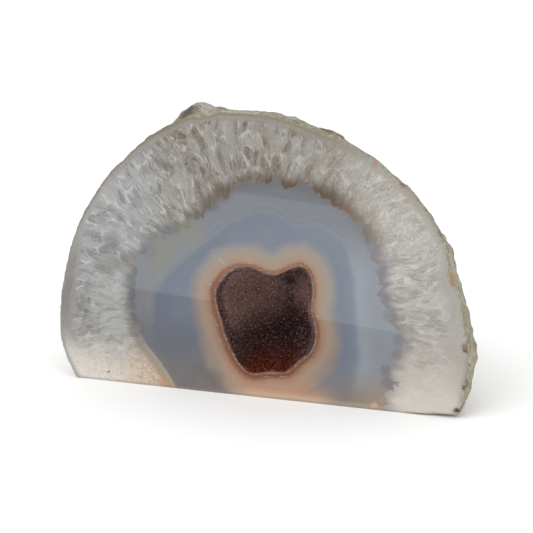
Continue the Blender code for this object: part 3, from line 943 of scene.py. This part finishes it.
def cut_colour(g):
    """Return the colours of the polished face, which carry on through the stone to its base."""
    shift = g.mul(g.sub(g.wide, 0.5), 24.0)
    right = g.ease(g.add(g.x, shift), -16.0, 26.0)
    aside = g.math('ABSOLUTE', g.add(g.x, 1.0))
    top = g.mul(g.ease(g.add(g.z, shift), 42.0, 58.0), g.ease(aside, 38.0, 19.0))
    start = g.ease(g.z, 36.0, 48.0, 3.0, 1.1)
    smooth_low = g.ease(g.z, 20.0, 14.0)
    quartz = quartz_zone(g, right, top, start)
    quartz, edge = add_tips(g, quartz, right, top, smooth_low)
    skin = g.add(g.depth, g.mul(g.sub(g.wide, 0.5), 2.0))
    outer = g.mix(g.ease(g.sub(skin, start), -0.3, 1.0), rim_colour(g, right, top, start), quartz)
    outer = add_cream(g, outer, edge, smooth_low)
    blur = g.mul(smooth_low, g.ease(g.x, -20.0, -26.0))
    inside = g.ease(edge, g.sub(-0.15, g.mul(blur, 0.9)), g.add(0.25, g.mul(blur, 0.3)))
    cut = g.mix(inside, outer, halo_colour(g, chalcedony_colour(g, right)))
    cut = add_marks(g, cut)
    aside = g.math('ABSOLUTE', g.add(g.x, 20.0))
    stained = g.mul(g.mul(g.ease(g.z, 1.1, 0.3), g.ease(aside, 16.0, 9.0)), 0.7)
    cut = g.mix(g.mul(stained, g.polish), cut, seen(188, 134, 96))
    return g.vector('SCALE', cut, scale=g.ease(g.z, 16.0, 0.0, 1.0, BASE_LIFT))


def stone_material():
    """Return the stone's material: glassy where it is polished, dull and grained on the rind."""
    g = Stone()
    cut = cut_colour(g)
    rind, fine = rind_colour(g)
    planar = g.math('MAXIMUM', g.ease(g.y, FRONT + 0.55, FRONT + 0.30), g.ease(g.z, 0.45, 0.25))
    inner = g.ease(g.depth, 1.0, 1.4)
    colour = g.mix(g.math('MAXIMUM', planar, inner), rind, cut)
    colour = g.mix(g.mul(g.sub(g.sawn, g.polish), 0.35), colour, seen(188, 184, 178))
    g.put(g.shader.inputs["Base Color"], colour)
    glassy = g.ease(g.core, -2.0, 1.0, 0.08, 0.03)
    dull = g.add(g.mul(g.ease(fine, 0.3, 0.7), 0.12), 0.72)
    g.put(g.shader.inputs["Roughness"], g.blend(g.ease(g.polish, 0.4, 0.9), dull, glassy))
    g.put(g.shader.inputs["IOR"], QUARTZ_IOR)

    bump = g.node("ShaderNodeBump")
    g.put(bump.inputs["Height"], g.add(g.mul(fine, 0.6), g.mul(g.noise(g.place, 3.2, 3.0), 0.4)))
    g.put(bump.inputs["Strength"], g.mul(g.sub(1.0, g.ease(g.polish, 0.0, 0.6)), 0.55))
    g.put(bump.inputs["Distance"], 0.5 * MM)
    g.put(g.shader.inputs["Normal"], bump.outputs[0])
    return g.material


def crystal_light(g, place, x, y, z):
    """Return where the crystals catch light: a dome at the left, a lobe at the right, a cleft between."""
    flat = g.vector('MULTIPLY', place, (1.0, 0.0, 1.0))
    dome = g.ease(g.vector('DISTANCE', flat, (-6.0, 0.0, 28.5)), 15.0, 2.0)
    lobe = g.ease(g.vector('DISTANCE', flat, (10.5, 0.0, 27.5)), 10.0, 1.0)
    light = g.math('MAXIMUM', dome, g.mul(lobe, 1.1))
    light = g.mul(light, g.ease(y, FRONT + 0.2, FRONT + 1.5, 0.3, 1.0))
    shade = g.math('MAXIMUM', g.ease(z, 32.0, 35.0), g.ease(x, -6.0, 2.0))
    shade = g.math('MAXIMUM', g.ease(y, FRONT + 1.0, FRONT + 5.0), shade)
    light = g.mul(light, g.ease(shade, 0.0, 1.0, 0.25, 1.0))
    return g.mul(light, g.ease(g.vector('DISTANCE', flat, (4.8, 0.0, 31.5)), 0.5, 3.0))


def druse_material():
    """Return the crust's material: dark brown crystals in painted light and shade, with painted glints, deep
    red below, partly a painted glow, pale where it is cut.
    """
    g = Graph("druse_crystals")
    place = g.vector('SCALE', g.node("ShaderNodeTexCoord").outputs["Object"], scale=1.0 / MM)
    wall, tip = g.stored("wall"), g.stored("tip")
    x, y, z = g.split(place)
    patch = g.noise(place, 0.16, 3.0)
    # Painted glints on the crystals' tips, in a brighter colour of their own.
    painted_sparkle = g.mul(g.ease(tip, 0.0, 1.0), g.ease(g.noise(place, 1.6, 2.0), 0.30, 0.70, 0.2, 1.0))
    # Painted light and shade: a lit and a shaded crystal colour, mixed by where light is painted on the
    # crystals.
    light = crystal_light(g, place, x, y, z)
    deep = g.mix(light, (0.040, 0.016, 0.015, 1.0), (0.24, 0.13, 0.115, 1.0))
    painted_shine = g.mix(light, (0.24, 0.15, 0.14, 1.0), (0.95, 0.72, 0.66, 1.0))
    colour = g.mix(g.mul(g.math('POWER', painted_sparkle, 2.0), 0.9), deep, painted_shine)
    # Deep red low in the hollow: partly the stone's own red, partly a painted glow of light shining through
    # it.
    red_and_painted_glow = g.ease(g.add(g.sub(z, g.mul(x, 0.12)), g.mul(g.sub(patch, 0.5), 3.0)), 13.5, 7.5)
    colour = g.mix(g.mul(red_and_painted_glow, 0.96), colour, (0.080, 0.008, 0.0005, 1.0))
    # Painted sparkles: small bright specks on the crystals, fewer low in the hollow and none on the cut edge.
    painted_glint_cells = g.cells(place, 1.5)
    painted_spark = g.mul(g.ease(painted_glint_cells.outputs["Distance"], 0.34, 0.16), g.ease(g.random(painted_glint_cells), 0.62, 0.72))
    painted_spark = g.mul(painted_spark, g.ease(z, 9.0, 17.0, 0.04, 0.7))
    colour = g.mix(g.mul(painted_spark, g.ease(y, FRONT + 0.2, FRONT + 0.8)), colour, (0.62, 0.50, 0.46, 1.0))

    # The cut edge is wide below and at the left, thin above and at the right.
    lean = g.add(g.mul(x, 0.75), g.mul(g.sub(z, 24.0), 0.65))
    rim = g.ease(lean, 0.0, 6.0, PALE_RIM, 0.30)
    cut = g.sub(g.add(wall, g.sway(place, 1.4, 2.0, 0.8)), rim)
    ring = ring_colour(g, place, x, z, g.sub(rim, wall))
    # Painted reflection: the cut edge is lifted in place of the floor's shine that the crust's low specular
    # level leaves out.
    ring = g.vector('ADD', ring, (CRUST_PAINTED_SHINE, CRUST_PAINTED_SHINE, CRUST_PAINTED_SHINE))
    colour = g.mix(g.ease(cut, -0.08, 0.08), ring, colour)
    g.put(g.shader.inputs["Base Color"], colour)
    g.put(g.shader.inputs["Roughness"], g.ease(patch, 0.3, 0.7, 0.16, 0.30))
    g.put(g.shader.inputs["IOR"], QUARTZ_IOR)
    g.put(g.shader.inputs["Specular IOR Level"], 0.2)
    return g.material


# Stage

def make_floor():
    """Return a wide pale floor."""
    bm = bmesh.new()
    bmesh.ops.create_grid(bm, x_segments=1, y_segments=1, size=6.0)
    mesh = bpy.data.meshes.new("floor")
    bm.to_mesh(mesh)
    bm.free()
    floor = bpy.data.objects.new("floor", mesh)
    bpy.context.scene.collection.objects.link(floor)
    g = Graph("floor")
    g.put(g.shader.inputs["Base Color"], (0.86, 0.86, 0.86, 1.0))
    g.put(g.shader.inputs["Roughness"], 0.9)
    mesh.materials.append(g.material)
    return floor


def make_light(name, place, target, size, power):
    """Add a soft rectangular light that shines at the target."""
    data = bpy.data.lights.new(name, 'AREA')
    data.shape = 'RECTANGLE'
    data.size = size[0] * MM
    data.size_y = size[1] * MM
    data.energy = power
    lamp = bpy.data.objects.new(name, data)
    lamp.location = Vector(place) * MM
    lamp.rotation_euler = (Vector(target) - Vector(place)).to_track_quat('-Z', 'Y').to_euler()
    lamp.visible_camera = False
    bpy.context.scene.collection.objects.link(lamp)
    return lamp


def make_stage():
    """Add the floor, lights, background light and camera."""
    make_floor()
    world = bpy.data.worlds.new("studio")
    world.use_nodes = True
    background = world.node_tree.nodes["Background"]
    background.inputs[0].default_value = (1.0, 1.0, 1.0, 1.0)
    background.inputs[1].default_value = BACKGROUND
    bpy.context.scene.world = world
    make_light("key", *KEY_LIGHT)
    make_light("fill", *FILL_LIGHT)
    # A pale strip that lies in front of the stone and shows only in the polish.
    strip = make_light("strip", *STRIP_LIGHT)
    strip.data.color = (0.9, 1.0, 1.0)
    strip.rotation_euler = (math.pi, 0.0, math.radians(STRIP_TURN))
    strip.visible_diffuse = False

    azimuth, elevation = math.radians(CAMERA_AZIMUTH), math.radians(CAMERA_ELEVATION)
    level = math.cos(elevation)
    back = Vector((math.sin(azimuth) * level, -math.cos(azimuth) * level, math.sin(elevation)))
    data = bpy.data.cameras.new("camera")
    data.lens = CAMERA_LENS
    data.sensor_width = 36.0
    data.clip_end = 50.0
    camera = bpy.data.objects.new("camera", data)
    camera.location = (Vector(CAMERA_TARGET) + back * CAMERA_DISTANCE) * MM
    camera.rotation_euler = back.to_track_quat('Z', 'Y').to_euler()
    bpy.context.scene.collection.objects.link(camera)
    bpy.context.scene.camera = camera
    bpy.context.scene.view_settings.view_transform = 'Standard'


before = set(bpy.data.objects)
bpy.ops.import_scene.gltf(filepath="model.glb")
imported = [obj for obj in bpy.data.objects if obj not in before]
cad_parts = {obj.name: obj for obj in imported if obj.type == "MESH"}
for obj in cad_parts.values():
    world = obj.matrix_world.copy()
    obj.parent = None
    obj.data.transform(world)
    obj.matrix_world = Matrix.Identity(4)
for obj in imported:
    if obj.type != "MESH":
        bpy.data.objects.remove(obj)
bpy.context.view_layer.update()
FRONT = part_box("agate")[0].y / MM
hollow_box = [np.array(corner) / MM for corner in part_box("druse")]

stone = make_stone(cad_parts["agate"], hollow_box)
stone.data.materials.append(stone_material())
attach(stone, "root")
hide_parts("agate")

druse = make_druse(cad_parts["druse"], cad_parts["agate"], hollow_box)
druse.data.materials.append(druse_material())
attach(druse, "root")
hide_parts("druse")

make_stage()
